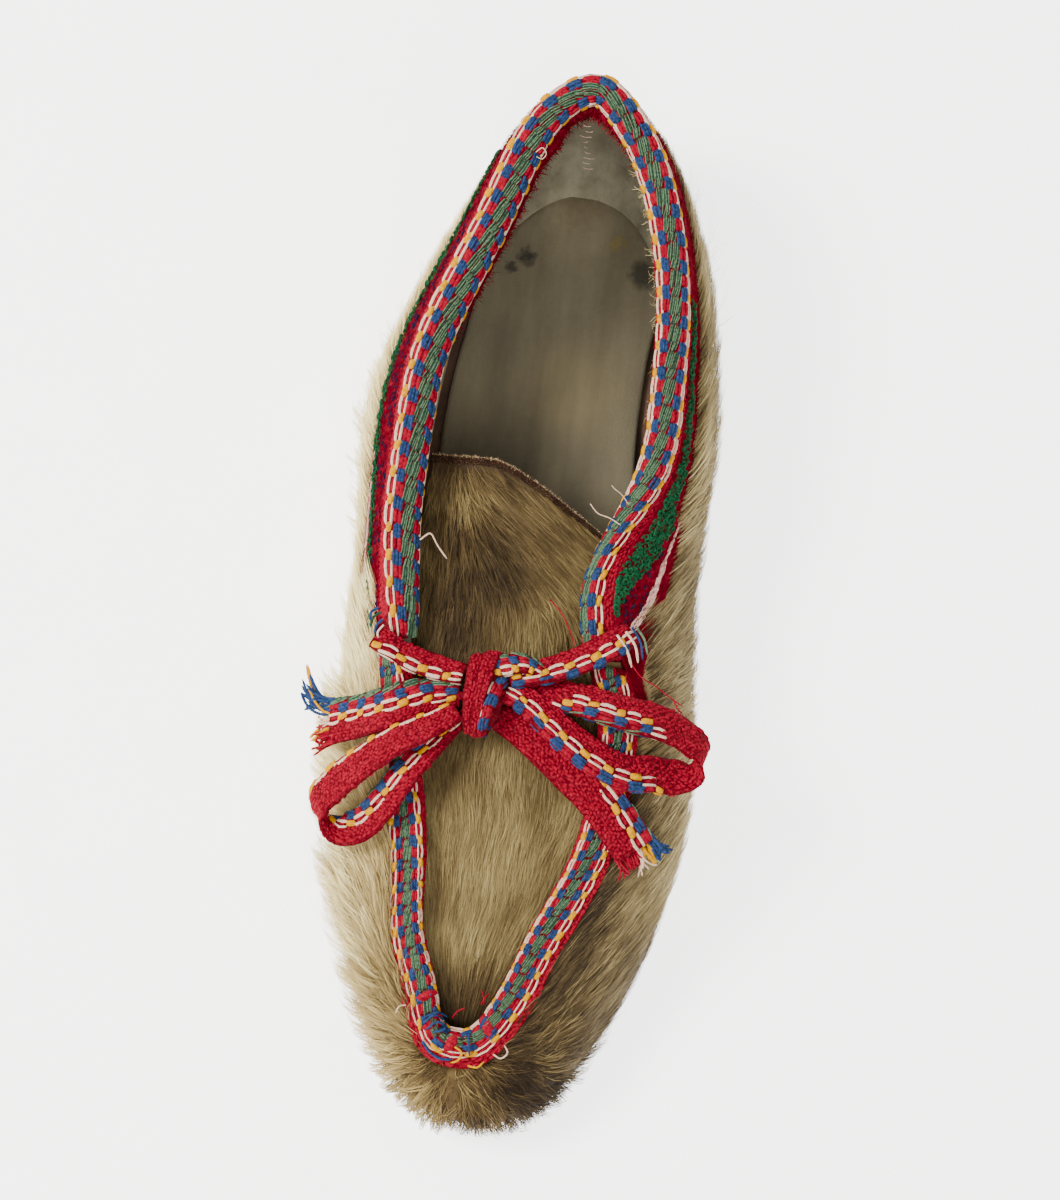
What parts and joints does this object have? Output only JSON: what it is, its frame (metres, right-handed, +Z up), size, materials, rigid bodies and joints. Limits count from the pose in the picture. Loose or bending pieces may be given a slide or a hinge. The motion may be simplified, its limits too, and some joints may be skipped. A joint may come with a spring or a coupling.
{
  "type": "fur slipper",
  "caption": "Low fur slipper for the left foot: hollow fur upper open at collar and throat, fur tongue, felt cuff, woven bands, ribbon bow and soft leather sole.",
  "frame": {"origin": "on the floor under the middle of the shoe's box, the free ribbon bow left out", "axes": "+Y towards the heel, -Y towards the toe, +X towards the outer side of the left foot, +Z up"},
  "size_m": [0.0977, 0.2606, 0.0597],
  "materials": {
    "fur": "natural fur",
    "tongue_fur": "natural fur, darker",
    "sole_leather": "dark suede",
    "insole_leather": "worn bare leather",
    "red_felt": "felt",
    "woven_band": "patterned weave",
    "ribbon": "patterned weave"
  },
  "bodies": {
    "root": {"outsole": "sole_leather", "insole": "insole_leather", "upper": "fur", "tongue": "tongue_fur", "felt_cuff": "red_felt", "collar_band": "woven_band", "throat_band": "woven_band", "lace_bar_medial": "ribbon", "lace_bar_lateral": "ribbon", "lace_knot": "ribbon", "lace_loop_medial": "ribbon", "lace_loop_lateral": "ribbon", "lace_tail_medial": "ribbon", "lace_tail_lateral": "ribbon"}
  },
  "joints": []
}
